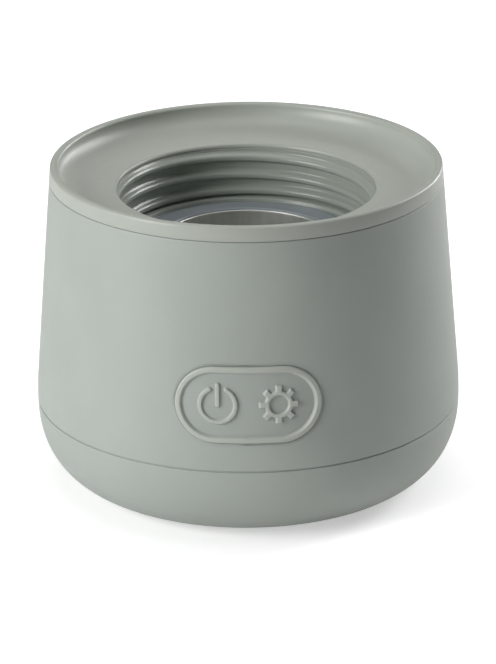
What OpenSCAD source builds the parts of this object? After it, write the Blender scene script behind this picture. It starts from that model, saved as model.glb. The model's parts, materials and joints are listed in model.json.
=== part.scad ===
// Cordless bottle warmer: a round, tapered body with a threaded mouth on top that takes a
// wide-neck feeding bottle, a heated steel cup below the mouth, two rechargeable cells in the
// base and a two-button silicone keypad on the front.
// Millimetres. Origin at the bottom centre, +Z up, the keypad faces -Y, the charging socket +Y.

/* [Overall] */
// Largest outer diameter, at the seam between base and body
body_d = 90; // [89:0.5:92]
// Height from the table to the top of the rim
body_h = 69; // [68:0.5:71]
// Outer diameter at the seam under the top cover
top_d = 82.68; // [82:0.1:84]
// Wall of the moulded body shell
wall = 2.2; // [2:0.1:2.4]

/* [Base] */
// Height of the seam between base and body
base_seam_z = 17.4; // [17:0.1:18]
// How far the rubber feet stand out under the base
foot_stand = 0.6; // [0.5:0.1:0.8]
// Diameter of a rubber foot
foot_d = 9; // [8:0.5:9]
// Distance of the feet and base screws from the middle, left to right
foot_x = 19.3; // [18:0.1:20]
// Distance of the feet and base screws from the middle, front to back
foot_y = 23; // [23:0.1:23.5]

/* [Mouth and thread] */
// Height of the seam under the top cover
cover_seam_z = 65.75; // [65.5:0.05:66]
// Radius of the mouth's wall, which is the root of the thread
thread_root_r = 27.2; // [27.2:0.1:27.4]
// Radius of the plain land below the thread, which is the neck's running clearance
thread_crest_r = 26; // [25.8:0.1:26]
// Rise of the thread in one turn
thread_pitch = 3.95; // [3.8:0.05:4]
// Depth of the dish from the rim's top to its floor
dish_depth = 5.1; // [4.8:0.1:5.3]
// Width of the hollow curve that leads from the dish's floor up to the rim
dish_run = 6.8; // [6:0.1:7]

/* [Heating cup] */
// Inside radius of the steel cup
cup_r = 17.4; // [17:0.1:17.5]
// Sheet thickness of the cup
cup_wall = 0.6; // [0.5:0.1:0.6]
// Height of the cup's inside floor above the table
cup_floor_z = 32.2; // [32.2:0.1:33]
// Thickness of the silicone seal
seal_t = 3; // [2.6:0.1:3]

/* [Keypad] */
// Height of the keypad's centre above the table
key_z = 31.9; // [31.5:0.1:32.2]
// Width of the keypad over its border
key_w = 29.8; // [29.4:0.1:30]
// Height of the keypad over its border
key_h = 16.2; // [16:0.1:16.4]
// Width of the raised border
key_border = 1.4; // [1.2:0.1:1.5]
// How far the border stands out of the body
key_stand = 0.5; // [0.3:0.1:0.6]
// Distance from the keypad's centre to the centre of each button
key_x = 6.2; // [6.2:0.1:6.3]
// Radius of a button
button_r = 5.3; // [5.2:0.1:5.3]
// How far the icons stand out of the buttons
icon_stand = 0.45; // [0.2:0.05:0.6]
// How far a button travels
button_travel = 0.5; // [0.3:0.1:0.5]

/* [Battery and board] */
// Diameter of a rechargeable cell
cell_d = 18.4; // [18.2:0.1:18.4]
// Length of a rechargeable cell
cell_l = 65; // [64.8:0.1:65.2]
// Thickness of the main circuit board
pcb_t = 1.6; // [1.2:0.2:1.6]

/* [Hidden] */
$fn = 96;

body_r = body_d / 2;
top_r = top_d / 2;
eps = 0.01;

// base bowl: a squarish ellipse in section, cut flat underneath
bowl_flat_r = 28;
bowl_h = base_seam_z - 0.2;
bowl_n = 2.6;
bowl_m = 2.15;
floor_t = 2.2;
floor_z = foot_stand + floor_t;

// body: a short vertical-to-cone blend over the seam, then a straight cone up to the cover
blend_z = 24;
taper = 4.645;
blend_r = (blend_z - base_seam_z) / sin(taper);
blend_x = body_r - blend_r * (1 - cos(taper));

// mouth stack, all measured down from the rim or up from the table
dish_z = body_h - dish_depth;
lip_r = 0.65;
collar_top_z = dish_z - 1.2;
seal_z = 49.2;
seal_top_z = seal_z + seal_t;
land_h = 0.9;
thread_z0 = seal_top_z + land_h;
seal_r = cup_r + cup_wall + 0.05;
cup_rim_z = seal_top_z - 0.25;
flange_z = 47.9;
flange_t = 2;
retainer_t = 2;
clamp_r = 33.6;
post_r = 2.4;

cell_z = 12.6;
cell_y = cell_d / 2 + 0.2;
frame_z = 22.3;
frame_t = 2;
pcb_z = frame_z + frame_t + 1;
pcb_top = pcb_z + pcb_t;
pcb_r = 35.5;
board_y = -34;
board_t = 1.2;
button_back_y = -37.95;

// radius of the thread-forming screws' pilot holes, and of their shanks
pilot_r = 0.95;
shank_r = 0.93;
clear_r = 1.2;

module sage() color([0.62, 0.65, 0.61]) children();

// ---- curves ----
function arc(cx, cy, r, a0, a1, n) =
    [for (i = [0:n]) let(a = a0 + (a1 - a0) * i / n) [cx + r * cos(a), cy + r * sin(a)]];
function pw(b, e) = pow(max(b, 0), e);
function bowl(rb, r, h, t) =
    [rb + (r - rb) * pw(cos(t), 2 / bowl_n), bowl_h - h * pw(sin(t), 2 / bowl_m)];
// the bowl's section from its top edge down to the height zc
function bowl_curve(rb, r, h, zc, n) =
    let(te = asin(pw((bowl_h - zc) / h, bowl_m / 2)))
    [for (i = [0:n]) bowl(rb, r, h, te * i / n)];
// the body's outer line, moved sideways by off, from the seam to the cover
function body_line(off, z1) = concat(
    [for (i = [0:6]) let(a = taper * i / 6)
        [body_r - blend_r * (1 - cos(a)) + off, base_seam_z + blend_r * sin(a)]],
    [[blend_x + (top_r - blend_x) * (z1 - blend_z) / (cover_seam_z - blend_z) + off, z1]]);
function body_r_at(z) = blend_x + (top_r - blend_x) * (z - blend_z) / (cover_seam_z - blend_z);

// ---- shared shapes ----
module stadium(w, h) {
    square([w - h, h], center = true);
    for (s = [-1, 1]) translate([s * (w - h) / 2, 0]) circle(d = h);
}
// a flat outline pushed out of the front of the body, centred on the keypad
module front(x = 0, z = key_z, y0 = 0, y1 = 50)
    translate([x, -y0, z]) rotate([90, 0, 0]) linear_extrude(y1 - y0) children();
// the solid inside the body's outer surface, moved sideways by off
module inside_body(off, z1 = 48)
    rotate_extrude() polygon(concat([[0, base_seam_z]], body_line(off, z1), [[0, z1]]));
module skin(outer, inner) {
    difference() {
        inside_body(outer);
        translate([0, 0, -0.1]) inside_body(inner, 49);
    }
}
module at_feet() for (x = [-foot_x, foot_x], y = [-foot_y, foot_y]) translate([x, y, 0]) children();
module at_bosses() for (a = [20, 160, 200, 340]) rotate([0, 0, a]) translate([39, 0, 0]) children();
module at_posts() for (a = [45, 135, 225, 315]) rotate([0, 0, a]) translate([clamp_r, 0, 0]) children();
module at_board() for (x = [-27, 27], y = [-17, 17]) translate([x, y, 0]) children();
module cells(r, extra = 0)
    for (y = [-cell_y, cell_y])
        translate([-cell_l / 2 - extra, y, cell_z]) rotate([0, 90, 0]) cylinder(r = r, h = cell_l + 2 * extra);
module screw(head_r, head_h, shank, length) {
    // origin under the head, the shank points up
    difference() {
        translate([0, 0, -head_h]) cylinder(r = head_r, h = head_h);
        translate([0, 0, -head_h - eps]) cylinder(r = head_r * 0.45, h = head_h * 0.55, $fn = 6);
    }
    cylinder(r = shank, h = length);
}

// ---- casings ----
module base_shell() sage() {
    difference() {
        union() {
            rotate_extrude() polygon(concat(
                [[0, foot_stand]],
                [for (i = [18:-1:0]) bowl_curve(bowl_flat_r, body_r, bowl_h, foot_stand, 18)[i]],
                [[body_r, base_seam_z], [body_r - wall - 0.2, base_seam_z],
                 [body_r - wall - 0.2, base_seam_z + 3], [body_r - wall - 1.5, base_seam_z + 3],
                 [body_r - wall - 1.5, base_seam_z - 3.5]],
                [for (i = [2:14]) bowl_curve(bowl_flat_r - 1, body_r - wall, bowl_h - 2.2, floor_z, 14)[i]],
                [[0, floor_z]]));
            at_feet() translate([0, 0, floor_z - 0.5]) cylinder(r = 3.4, h = 2.3);
            difference() {
                for (x = [-12, 12]) translate([x - 1, -18, floor_z - 0.5]) cube([2, 36, 4.5]);
                cells(cell_d / 2 + 0.05, 1);
            }
        }
        at_feet() {
            translate([0, 0, -1]) cylinder(r = foot_d / 2 + 0.1, h = 1 + foot_stand + 1);
            translate([0, 0, -1]) cylinder(r = 2.4, h = 1 + 3);
            cylinder(r = clear_r, h = 10);
        }
    }
}

module body_shell() sage() {
    socket_z = pcb_top + 1.63;
    difference() {
        union() {
            rotate_extrude() polygon(concat(
                [[body_r - wall, base_seam_z], [body_r - 0.35, base_seam_z], [body_r - 0.35, base_seam_z + 0.25]],
                [for (i = [1:7]) body_line(0, cover_seam_z)[i]],
                [[top_r - wall, cover_seam_z], [blend_x - wall, blend_z]]));
            // bosses for the inner frame's screws, each tied to the wall by a rib
            at_bosses() intersection() {
                union() {
                    translate([0, 0, frame_z + frame_t]) cylinder(r = 2.8, h = 8);
                    translate([0, -0.8, frame_z + frame_t]) cube([4, 1.6, 8]);
                }
                rotate([0, 0, 0]) translate([-39, 0, 0]) cylinder(r = 42.8, h = 60);
            }
            // bosses for the keypad bracket's screws
            difference() {
                intersection() {
                    union() for (s = [-1, 1]) front(s * 18.8) circle(r = 2);
                    inside_body(-1);
                }
                translate([-60, -35.55, 0]) cube([120, 100, 80]);
            }
        }
        at_bosses() translate([0, 0, frame_z]) cylinder(r = pilot_r, h = 8.5);
        for (s = [-1, 1]) front(s * 18.8, y0 = 30, y1 = 38.6) circle(r = 0.75);
        front(y0 = 30) stadium(key_w + 0.3, key_h + 0.3);
        // charging socket: a through slot inside a shallow pocket for the plug's grip
        translate([0, 0, socket_z]) rotate([-90, 0, 0]) linear_extrude(50) stadium(9.7, 4);
        translate([0, 43, socket_z]) rotate([-90, 0, 0]) linear_extrude(5) stadium(12.6, 7);
    }
}

module top_cover() sage() difference() {
    union() {
        rotate_extrude() polygon(concat(
            [[top_r - 0.35, cover_seam_z], [top_r - 0.35, cover_seam_z + 0.2], [top_r - 0.01, cover_seam_z + 0.2]],
            arc(top_r - 0.84, body_h - 0.63, 0.63, 4, 90, 6),
            arc(top_r - 1.29, body_h - 0.65, 0.65, 90, 180, 6),
            [for (i = [1:14]) let(a = -90 * i / 14)
                [top_r - 1.94 - dish_run * (1 - cos(a)), body_h - 0.65 + (dish_depth - 0.75) * sin(a)]],
            [[thread_root_r + 0.05 + lip_r, dish_z - 0.15]],
            arc(thread_root_r + 0.05 + lip_r, dish_z - 0.15 - lip_r, lip_r, 95, 180, 5),
            [[thread_root_r + 0.05, collar_top_z], [29.6, collar_top_z], [29.6, 57.5], [31.4, 57.5],
             [31.4, dish_z - 2.1], [35.4, dish_z - 2.0], [37.45, dish_z - 1.7],
             [37.45, 59.5], [38.95, 59.5], [38.95, cover_seam_z]]));
        at_posts() translate([0, 0, flange_z + flange_t])
            cylinder(r = post_r, h = dish_z - 1.8 - flange_z - flange_t);
    }
    at_posts() translate([0, 0, flange_z]) cylinder(r = pilot_r, h = 10.5);
}

// one rounded ridge wound up the throat, right handed, sinking into the wall at both ends
thread_a0 = 90 + 360 * (thread_z0 + 0.85 - (seal_top_z + 8.5)) / thread_pitch;
thread_a1 = 90 + 360 * 1.25 / thread_pitch;
thread_steps = 108;
module thread_ridge() {
    d = thread_root_r - thread_crest_r - 0.06;
    section = [[-0.4, 1.4], [0.3 * d, 0.95], [0.8 * d, 0.6], [d, 0.25], [d, -0.25], [0.75 * d, -0.62], [-0.4, -0.95]];
    rings = [for (i = [0:thread_steps])
        let(a = thread_a0 + (thread_a1 - thread_a0) * i / thread_steps,
            z = seal_top_z + 8.5 + thread_pitch * (a - 90) / 360,
            sunk = 1.37 * (1 - sin(90 * min(1, min(i, thread_steps - i) / 8))))
        for (p = section)
            [(thread_root_r - p[0] + sunk) * cos(a), (thread_root_r - p[0] + sunk) * sin(a),
             min(z + p[1], collar_top_z - 0.02 - 0.02 * p[0])]];
    n = len(section);
    faces = concat(
        [[for (k = [n - 1:-1:0]) k]],
        [[for (k = [0:n - 1]) thread_steps * n + k]],
        [for (i = [0:thread_steps - 1], k = [0:n - 1]) let(q = i * n, k2 = (k + 1) % n) [q + k, q + n + k2, q + n + k]],
        [for (i = [0:thread_steps - 1], k = [0:n - 1]) let(q = i * n, k2 = (k + 1) % n) [q + k, q + k2, q + n + k2]]);
    polyhedron(rings, faces, convexity = 10);
}

module thread_collar() sage() difference() {
    union() {
        rotate_extrude() polygon([
            [25.1, flange_z], [36.4, flange_z], [36.4, flange_z + flange_t], [29.4, flange_z + flange_t],
            [29.4, 59.2], [28.5, 59.2], [28.5, 60.4], [29.4, 60.4], [29.4, collar_top_z],
            [thread_root_r, collar_top_z], [thread_root_r, thread_z0 + 0.3], [thread_crest_r + 0.3, thread_z0],
            [thread_crest_r, thread_z0], [thread_crest_r, seal_top_z], [25.1, seal_top_z]]);
        thread_ridge();
    }
    at_posts() translate([0, 0, flange_z - 1]) cylinder(r = clear_r, h = flange_t + 2);
}

// ---- heating ----
module seal_ring() color([0.72, 0.78, 0.82, 0.7]) rotate_extrude() polygon(concat(
    [[seal_r, seal_z], [24.95, seal_z], [24.95, seal_top_z - 0.9], [24.2, seal_top_z - 0.9]],
    [[22.2, seal_top_z]],
    arc(seal_r + 0.4, seal_top_z - 0.4, 0.4, 90, 180, 4)));

module heating_cup() color([0.62, 0.62, 0.60]) rotate_extrude() polygon(concat(
    [[0, cup_floor_z - cup_wall]],
    arc(cup_r - 2, cup_floor_z + 2, 2 + cup_wall, -90, 0, 6),
    [[cup_r + cup_wall, seal_z - cup_wall], [24.6, seal_z - cup_wall], [24.6, seal_z], [cup_r + cup_wall, seal_z],
     [cup_r + cup_wall, cup_rim_z], [cup_r, cup_rim_z]],
    arc(cup_r - 2, cup_floor_z + 2, 2, 0, -90, 6),
    [[0, cup_floor_z]]));

module cup_retainer() color([0.35, 0.36, 0.36]) difference() {
    union() {
        translate([0, 0, flange_z - retainer_t]) cylinder(r = 36.4, h = retainer_t);
        translate([0, 0, flange_z - 0.5]) cylinder(r = 24.7, h = seal_z - cup_wall - flange_z + 0.5);
    }
    translate([0, 0, 40]) cylinder(r = cup_r + cup_wall + 0.3, h = 20);
    at_posts() translate([0, 0, 40]) cylinder(r = clear_r, h = 20);
}

module heater_plate() color([0.80, 0.78, 0.74]) translate([0, 0, cup_floor_z - cup_wall - 1.7]) cylinder(r = 15.2, h = 1.7);

module cup_insulation() color([0.90, 0.89, 0.85]) difference() {
    translate([0, 0, cup_floor_z + 1]) cylinder(r = cup_r + cup_wall + 2.3, h = 12.2);
    cylinder(r = cup_r + cup_wall + 0.1, h = 60);
}

module collar_o_ring() color([0.16, 0.16, 0.17]) rotate_extrude() translate([29.04, 59.8]) circle(r = 0.52);

module thermistor() color([0.25, 0.45, 0.35]) {
    top = cup_floor_z - cup_wall - 1.7;
    translate([9, 0, top - 1.4]) cylinder(r = 1.3, h = 1.4);
    for (s = [-0.6, 0.6]) translate([9, s, pcb_top]) cylinder(r = 0.25, h = top - 0.8 - pcb_top);
}

module thermal_fuse() color([0.85, 0.83, 0.78]) {
    z = cup_floor_z - cup_wall - 1.7 - 1.4;
    translate([-4.5, 7, z]) rotate([0, 90, 0]) cylinder(r = 1.35, h = 9);
    translate([-7, 7, z]) rotate([0, 90, 0]) cylinder(r = 0.4, h = 14);
    for (x = [-6.6, 6.6]) translate([x, 7, pcb_top]) cylinder(r = 0.4, h = z - pcb_top + 0.2);
}

module heater_leads() color([0.75, 0.15, 0.12])
    for (x = [-4, 4]) translate([x, -8, pcb_top]) cylinder(r = 0.9, h = cup_floor_z - cup_wall - 1.7 - pcb_top);

// ---- frame, battery and boards ----
module inner_frame() color([0.86, 0.87, 0.85]) difference() {
    union() {
        translate([0, 0, frame_z]) cylinder(r = 41, h = frame_t);
        at_feet() translate([0, 0, floor_z + 1.8]) cylinder(r = 3, h = frame_z - floor_z - 1);
        at_board() translate([0, 0, frame_z]) cylinder(r = 2.6, h = frame_t + 1);
        difference() {
            for (x = [-26, 26]) translate([x - 1, -19.5, cell_z]) cube([2, 39, frame_z - cell_z + 0.5]);
            cells(cell_d / 2 + 0.05, 1);
        }
    }
    translate([-24, -60, 0]) cube([48, 28, 60]);
    at_feet() translate([0, 0, 2]) cylinder(r = pilot_r, h = 12);
    at_bosses() cylinder(r = clear_r, h = 60);
    at_board() translate([0, 0, frame_z + 0.3]) cylinder(r = pilot_r, h = 10);
    for (s = [-6, 6]) translate([33.5, s, 0]) cylinder(r = 1, h = 60);
}

module cell_body() {
    cylinder(r = cell_d / 2, h = cell_l - 0.9);
    cylinder(r = 3.6, h = cell_l);
}
module battery_cell_front() color([0.20, 0.45, 0.70])
    translate([-cell_l / 2, -cell_y, cell_z]) rotate([0, 90, 0]) cell_body();
module battery_cell_rear() color([0.20, 0.45, 0.70])
    translate([cell_l / 2, cell_y, cell_z]) rotate([0, -90, 0]) cell_body();

module cell_tabs() color([0.78, 0.78, 0.76]) {
    for (y = [-cell_y, cell_y]) translate([cell_l / 2, y - 4, cell_z - 3]) cube([0.25, 8, 6]);
    translate([-cell_l / 2 - 0.25, -cell_y - 4, cell_z - 3]) cube([0.25, 2 * cell_y + 8, 6]);
}

module battery_leads() color([0.12, 0.12, 0.12])
    for (s = [-6, 6]) translate([cell_l / 2 + 0.27 + 0.7, s, cell_z]) cylinder(r = 0.7, h = pcb_z - cell_z);

module main_board() color([0.10, 0.36, 0.24]) difference() {
    translate([0, 0, pcb_z]) linear_extrude(pcb_t) union() {
        difference() {
            circle(r = pcb_r);
            translate([-60, -91]) square([120, 60]);
        }
        translate([-7, 30]) square([14, 9.3]);
    }
    at_board() cylinder(r = clear_r, h = 60);
}

module board_components() {
    color([0.14, 0.14, 0.15]) {
        translate([-31, -1, pcb_top]) cube([9, 9, 4.6]);
        for (y = [-8, 0, 8]) translate([23, y - 2.5, pcb_top]) cube([6, 5, 1.1]);
        translate([-3.5, -25.5, pcb_top]) cube([7, 7, 1.1]);
        translate([-19, -22, pcb_top]) cube([5, 4, 1.4]);
    }
    color([0.80, 0.78, 0.72]) {
        translate([8, -27, pcb_top]) cube([8, 5, 2.6]);
        for (x = [-12, -9, -6]) translate([x, -22, pcb_top]) cube([1.6, 0.8, 0.8]);
    }
    color([0.10, 0.12, 0.18]) {
        translate([-19, 19, pcb_top]) cylinder(r = 3.15, h = 7);
        translate([-11, 23.5, pcb_top]) cylinder(r = 3.15, h = 7);
    }
}

module charging_socket() color([0.80, 0.80, 0.80]) translate([0, 42.2, pcb_top + 1.63]) rotate([90, 0, 0]) {
    difference() {
        linear_extrude(7.4) stadium(8.94, 3.26);
        translate([0, 0, -1]) linear_extrude(7.3) stadium(8.34, 2.66);
    }
    translate([-3.35, -0.35, 0.6]) cube([6.7, 0.7, 6]);
}

// ---- keypad ----
module button_hole(x) front(x, y0 = 20) circle(r = button_r + 0.3);

module keypad_pad() color([0.66, 0.69, 0.65]) difference() {
    union() {
        intersection() {
            front() stadium(key_w, key_h);
            skin(-0.12, -3.3);
        }
        intersection() {
            front() difference() {
                stadium(key_w, key_h);
                stadium(key_w - 2 * key_border, key_h - 2 * key_border);
            }
            skin(key_stand, -1);
        }
        intersection() {
            front() stadium(33, 19.8);
            skin(-wall - 0.1, -3.3);
        }
    }
    button_hole(-key_x);
    button_hole(key_x);
}

module button_core(x) {
    difference() {
        intersection() {
            front(x) circle(r = button_r);
            inside_body(-0.12);
        }
        translate([-60, button_back_y, 0]) cube([120, 100, 80]);
    }
}
module icon_on(x) {
    difference() {
        intersection() {
            front(x) children();
            inside_body(icon_stand);
        }
        translate([-60, -41.5, 0]) cube([120, 100, 80]);
    }
}
module power_icon() {
    difference() {
        circle(r = 4.1);
        circle(r = 3.1);
        polygon([[0, 0], [6 * sin(-28), 6 * cos(-28)], [0, 8], [6 * sin(28), 6 * cos(28)]]);
    }
    translate([-0.5, -0.5]) square([1, 5.1]);
}
module gear_icon() difference() {
    union() {
        circle(r = 2.9);
        for (a = [0:45:315]) rotate(a) translate([-0.7, 0]) square([1.4, 4.05]);
    }
    circle(r = 1.9);
}
module power_button() color([0.68, 0.71, 0.67]) union() {
    button_core(-key_x);
    icon_on(-key_x) power_icon();
}
module settings_button() color([0.68, 0.71, 0.67]) union() {
    button_core(key_x);
    icon_on(key_x) gear_icon();
}

module keypad_bracket() color([0.30, 0.31, 0.31]) difference() {
    union() {
        intersection() {
            front() stadium(32.6, 19.4);
            inside_body(-3.4);
        }
        intersection() {
            translate([-22, -35.5, key_z - 7.5]) cube([44, 1.5, 15]);
            inside_body(-2.6);
        }
    }
    translate([-60, board_y, 0]) cube([120, 100, 80]);
    front() stadium(25, 12.6);
    for (s = [-1, 1]) front(s * 18.8) circle(r = 1.1);
}

module switch_board() color([0.10, 0.36, 0.24]) difference() {
    translate([-21, board_y, key_z - 7]) cube([42, board_t, 14]);
    for (s = [-1, 1]) front(s * 18.8) circle(r = 1.1);
}

module tact_switches() color([0.15, 0.15, 0.16])
    for (s = [-key_x, key_x]) {
        translate([s - 3, board_y - 2, key_z - 3]) cube([6, 2, 6]);
        front(s, y0 = -board_y + 1.5, y1 = -button_back_y - button_travel - 0.12) circle(r = 1.6);
    }

module indicator_leds() color([0.95, 0.95, 0.85])
    for (z = [-3, 3]) translate([-0.8, board_y - 0.8, key_z + z - 0.4]) cube([1.6, 0.8, 0.8]);

module keypad_ribbon() color([0.92, 0.92, 0.90]) {
    y = board_y + board_t;
    translate([6, y, pcb_top]) cube([6, 0.25, 4]);
    translate([6, y, pcb_top]) cube([6, 4.5, 0.25]);
}

// ---- feet and fasteners ----
module rubber_feet() color([0.25, 0.25, 0.25]) at_feet() cylinder(r = foot_d / 2, h = foot_stand + 0.95);

module base_screws() color([0.70, 0.70, 0.70]) at_feet() translate([0, 0, 3]) screw(2.2, 1.3, shank_r, 9);

module frame_screws() color([0.70, 0.70, 0.70]) at_bosses() translate([0, 0, frame_z]) screw(2, 1.3, shank_r, 8);

module board_screws() color([0.70, 0.70, 0.70]) at_board()
    translate([0, 0, pcb_top]) mirror([0, 0, 1]) screw(2, 1.3, shank_r, 3.8);

module collar_screws() color([0.70, 0.70, 0.70]) at_posts()
    translate([0, 0, flange_z - retainer_t]) screw(2.1, 1.4, shank_r, 12);

module keypad_screws() color([0.70, 0.70, 0.70]) for (s = [-1, 1])
    translate([s * 18.8, board_y + board_t, key_z]) rotate([90, 0, 0]) screw(1.9, 1.3, 0.73, 5.5);

base_shell();
body_shell();
top_cover();
thread_collar();
seal_ring();
heating_cup();
cup_retainer();
heater_plate();
cup_insulation();
collar_o_ring();
thermistor();
thermal_fuse();
inner_frame();
battery_cell_front();
battery_cell_rear();
cell_tabs();
battery_leads();
heater_leads();
main_board();
board_components();
charging_socket();
keypad_pad();
power_button();
settings_button();
keypad_bracket();
switch_board();
tact_switches();
indicator_leds();
keypad_ribbon();
rubber_feet();
base_screws();
frame_screws();
board_screws();
collar_screws();
keypad_screws();
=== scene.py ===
import bpy, bmesh, json, math
import numpy as np
from mathutils import Matrix, Vector


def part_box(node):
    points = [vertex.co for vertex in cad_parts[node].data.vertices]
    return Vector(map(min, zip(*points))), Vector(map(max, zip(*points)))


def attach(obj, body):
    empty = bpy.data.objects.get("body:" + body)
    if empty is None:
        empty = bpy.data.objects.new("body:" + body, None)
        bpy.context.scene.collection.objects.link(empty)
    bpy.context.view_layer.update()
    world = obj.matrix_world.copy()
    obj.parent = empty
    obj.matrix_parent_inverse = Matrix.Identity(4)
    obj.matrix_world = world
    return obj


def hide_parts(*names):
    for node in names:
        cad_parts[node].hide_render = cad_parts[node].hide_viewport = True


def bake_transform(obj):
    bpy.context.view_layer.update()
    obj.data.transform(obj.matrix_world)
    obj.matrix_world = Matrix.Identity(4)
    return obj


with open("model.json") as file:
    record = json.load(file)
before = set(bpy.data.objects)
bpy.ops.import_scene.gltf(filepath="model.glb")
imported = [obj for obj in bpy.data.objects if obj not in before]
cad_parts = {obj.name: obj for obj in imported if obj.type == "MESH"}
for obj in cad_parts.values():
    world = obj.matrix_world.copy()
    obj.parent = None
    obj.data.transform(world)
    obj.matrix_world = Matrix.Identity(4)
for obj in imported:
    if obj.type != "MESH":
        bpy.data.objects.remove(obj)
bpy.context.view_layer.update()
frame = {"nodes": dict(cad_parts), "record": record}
MM = 0.001
D2R = math.pi / 180


def nbox(node):
    lo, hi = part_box(node)
    return np.array(lo) / MM, np.array(hi) / MM


# ------------------------------------------------------------------ sizes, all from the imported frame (mm)
lo, hi = nbox("base_shell")
BODY_R = hi[0]
BASE_Z = lo[2]
lo, hi = nbox("body_shell")
SEAM_Z, COVER_Z = lo[2], hi[2]
lo, hi = nbox("top_cover")
RIM_Z, TOP_R = hi[2], hi[0] + 0.01
lo, hi = nbox("thread_collar")
COLLAR_LO, COLLAR_HI, FLANGE_R = lo[2], hi[2], hi[0]
lo, hi = nbox("seal_ring")
SEAL_LO, SEAL_HI, SEAL_OUT = lo[2], hi[2], hi[0]
lo, hi = nbox("heating_cup")
CUP_LO, CUP_HI, CUP_OUT = lo[2], hi[2], hi[0]
lo, hi = nbox("keypad_pad")
KEY_W, KEY_H, KEY_Z = (hi[0] - lo[0]) - 3.2, (hi[2] - lo[2]) - 3.6, (hi[2] + lo[2]) / 2
lo, hi = nbox("power_button")
BTN_R, KEY_X = (hi[0] - lo[0]) / 2, abs(hi[0] + lo[0]) / 2
lo, hi = nbox("charging_socket")
SOCK_Y, SOCK_Z = hi[1], (hi[2] + lo[2]) / 2
lo, hi = nbox("rubber_feet")
FOOT_H = hi[2]
WALL = 2.2
CUP_R, CUP_T = 17.4, 0.6
SEAL_IN = CUP_R + CUP_T + 0.05
CUP_FLANGE = SEAL_LO
ROOT_R, CREST_R, PITCH = 27.2, 26.0, 3.95
DISH_Z = RIM_Z - 5.1
DISH_RUN = 6.8
TAPER = 4.645
BLEND_Z = 24.0
BLEND_R = (BLEND_Z - SEAM_Z) / math.sin(TAPER * D2R)
BLEND_X = BODY_R - BLEND_R * (1 - math.cos(TAPER * D2R))


def body_r(z):
    z = np.asarray(z, float)
    cone = BLEND_X + (TOP_R - BLEND_X) * (z - BLEND_Z) / (COVER_Z - BLEND_Z)
    s = np.clip((z - SEAM_Z) / BLEND_R, 0, 1)
    blend = BODY_R - BLEND_R * (1 - np.sqrt(1 - s * s))
    return np.where(z >= BLEND_Z, cone, blend)


# ------------------------------------------------------------------ materials
def srgb(r, g, b):
    def f(c):
        c /= 255
        return c / 12.92 if c <= 0.04045 else ((c + 0.055) / 1.055) ** 2.4
    return (f(r), f(g), f(b), 1.0)


def set_in(shader, **values):
    for k, v in values.items():
        shader.inputs[k.replace("_", " ")].default_value = v


class Mat:
    """A procedural material: a principled shader with noise-driven colour, roughness and bump."""

    def __init__(self, name):
        self.m = bpy.data.materials.new(name)
        self.m.use_nodes = True
        self.t = self.m.node_tree
        self.t.nodes.clear()
        self.out = self.t.nodes.new("ShaderNodeOutputMaterial")
        self.s = self.t.nodes.new("ShaderNodeBsdfPrincipled")
        self.t.links.new(self.s.outputs[0], self.out.inputs[0])
        self.c = self.t.nodes.new("ShaderNodeTexCoord")
        self.normal = None

    def noise(self, scale, detail=3.0, rough=0.55, stretch=None):
        n = self.t.nodes.new("ShaderNodeTexNoise")
        n.inputs["Scale"].default_value = scale
        n.inputs["Detail"].default_value = detail
        n.inputs["Roughness"].default_value = rough
        if stretch:
            m = self.t.nodes.new("ShaderNodeMapping")
            m.inputs["Scale"].default_value = stretch
            self.t.links.new(self.c.outputs["Object"], m.inputs[0])
            self.t.links.new(m.outputs[0], n.inputs["Vector"])
        else:
            self.t.links.new(self.c.outputs["Object"], n.inputs["Vector"])
        return n.outputs["Fac"]

    def voronoi(self, scale):
        n = self.t.nodes.new("ShaderNodeTexVoronoi")
        n.inputs["Scale"].default_value = scale
        self.t.links.new(self.c.outputs["Object"], n.inputs["Vector"])
        return n.outputs["Distance"]

    def ramp(self, fac, stops):
        r = self.t.nodes.new("ShaderNodeValToRGB")
        e = r.color_ramp.elements
        while len(e) < len(stops):
            e.new(0.5)
        for el, (p, c) in zip(e, stops):
            el.position = p
            el.color = c if len(c) == 4 else (*c, 1)
        self.t.links.new(fac, r.inputs[0])
        return r.outputs[0]

    def span(self, fac, lo, hi, a=0.3, b=0.7):
        r = self.t.nodes.new("ShaderNodeMapRange")
        for k, v in zip(("From Min", "From Max", "To Min", "To Max"), (a, b, lo, hi)):
            r.inputs[k].default_value = v
        self.t.links.new(fac, r.inputs[0])
        return r.outputs[0]

    def bump(self, height, strength, distance):
        b = self.t.nodes.new("ShaderNodeBump")
        b.inputs["Strength"].default_value = strength
        b.inputs["Distance"].default_value = distance
        self.t.links.new(height, b.inputs["Height"])
        if self.normal is not None:
            self.t.links.new(self.normal, b.inputs["Normal"])
        self.normal = b.outputs[0]
        return self

    def link(self, out, socket):
        self.t.links.new(out, self.s.inputs[socket])
        return self

    def done(self):
        if self.normal is not None:
            self.t.links.new(self.normal, self.s.inputs["Normal"])
        return self.m


def shade(c, k):
    return (min(c[0] * k, 1), min(c[1] * k, 1), min(c[2] * k, 1), 1)


def plastic(name, col, rough, grain=0.10, grain_scale=2600, dist=0.00003, var=0.03, ior=1.47):
    m = Mat(name)
    m.link(m.ramp(m.noise(55, 4), [(0.3, shade(col, 1 - var)), (0.7, shade(col, 1 + var))]), "Base Color")
    m.link(m.span(m.noise(900, 2), rough - 0.03, rough + 0.03), "Roughness")
    set_in(m.s, IOR=ior)
    m.bump(m.noise(grain_scale, 2, 0.6), grain, dist)
    m.bump(m.noise(140, 2), 0.05, 0.00008)
    return m.done()


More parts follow.
